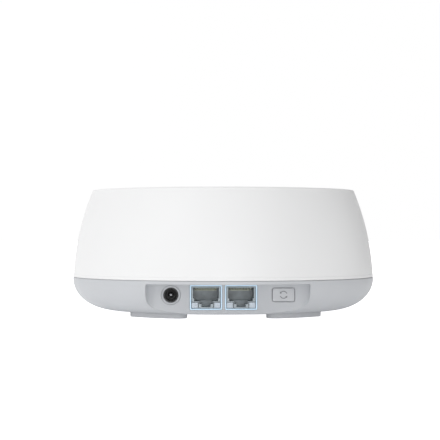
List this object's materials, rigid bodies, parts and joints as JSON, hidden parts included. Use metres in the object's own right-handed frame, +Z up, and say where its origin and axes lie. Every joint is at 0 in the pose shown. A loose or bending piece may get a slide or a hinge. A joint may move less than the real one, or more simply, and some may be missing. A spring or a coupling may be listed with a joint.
{
  "type": "wireless router",
  "caption": "Round table-top wireless router with a tall bowed shell on a curved base and a recessed panel of ports and a push button.",
  "frame": {"origin": "on the floor under the centre of the round case", "axes": "+Z up through the top face; the port panel faces -Y and the status light +Y"},
  "size_m": [0.148, 0.148, 0.0603],
  "materials": {
    "shell_white": "satin moulded white",
    "base_grey": "satin moulded light grey",
    "button_grey": "satin moulded light grey",
    "foot_rubber": "matte light grey elastomer",
    "jack_black": "moulded black",
    "socket_slate": "moulded dark slate",
    "port_blue": "pale blue trim",
    "light_window": "clouded light window",
    "sheet_steel": "plated sheet",
    "gold_contact": "gold plated",
    "screw_steel": "zinc plated",
    "board_green": "green solder mask",
    "sink_aluminium": "anodised",
    "thermal_grey": "soft pad",
    "chip_black": "moulded black",
    "holder_natural": "natural nylon",
    "lead_grey": "coaxial jacket",
    "label_silver": "blank film label"
  },
  "bodies": {
    "root": {"top_shell": "shell_white", "base_housing": "base_grey", "foot_rear_left": "foot_rubber", "foot_rear_right": "foot_rubber", "foot_front_right": "foot_rubber", "foot_front_left": "foot_rubber", "case_screw_rear_left": "screw_steel", "case_screw_rear_right": "screw_steel", "case_screw_front_right": "screw_steel", "case_screw_front_left": "screw_steel", "rating_label": "label_silver", "main_board": "board_green", "board_screw_1": "screw_steel", "board_screw_2": "screw_steel", "board_screw_3": "screw_steel", "board_screw_4": "screw_steel", "lan_jack_left": "socket_slate", "lan_shield_left": "sheet_steel", "lan_contacts_left": "gold_contact", "port_frame_left": "port_blue", "link_light_left": "light_window", "activity_light_left": "light_window", "lan_jack_right": "socket_slate", "lan_shield_right": "sheet_steel", "lan_contacts_right": "gold_contact", "port_frame_right": "port_blue", "link_light_right": "light_window", "activity_light_right": "light_window", "power_jack": "jack_black", "power_pin": "screw_steel", "power_spring": "sheet_steel", "pairing_switch": "chip_black", "reset_switch": "chip_black", "processor": "chip_black", "thermal_pad": "thermal_grey", "heat_sink": "sink_aluminium", "radio_shield_left": "sheet_steel", "radio_shield_right": "sheet_steel", "lan_transformer_left": "chip_black", "lan_transformer_right": "chip_black", "power_inductor": "chip_black", "capacitor_1": "sink_aluminium", "capacitor_2": "sink_aluminium", "antenna_rear": "board_green", "antenna_holder_rear": "holder_natural", "antenna_lead_rear": "lead_grey", "antenna_right": "board_green", "antenna_holder_right": "holder_natural", "antenna_lead_right": "lead_grey", "antenna_front": "board_green", "antenna_holder_front": "holder_natural", "antenna_lead_front": "lead_grey", "antenna_left": "board_green", "antenna_holder_left": "holder_natural", "antenna_lead_left": "lead_grey", "status_led": "light_window", "light_pipe": "light_window"},
    "pairing_button": {"pairing_button": "button_grey"},
    "pairing_plunger": {"pairing_plunger": "gold_contact"},
    "reset_plunger": {"reset_plunger": "gold_contact"}
  },
  "joints": [
    {"name": "pairing_button_press", "type": "slide", "parent": "root", "child": "pairing_button", "axis": [0, 1, 0], "range_m": [0, 0.0006], "stiffness_N_per_m": 2500},
    {"name": "pairing_plunger_press", "type": "slide", "parent": "root", "child": "pairing_plunger", "axis": [0, 1, 0], "range_m": [0, 0.0006]},
    {"name": "reset_plunger_press", "type": "slide", "parent": "root", "child": "reset_plunger", "axis": [0, 0, 1], "range_m": [0, 0.0004], "stiffness_N_per_m": 3000, "springref_m": -0.0001}
  ],
  "couplings": [
    {"joint": "pairing_plunger_press", "follows": "pairing_button_press", "ratio": 1}
  ]
}
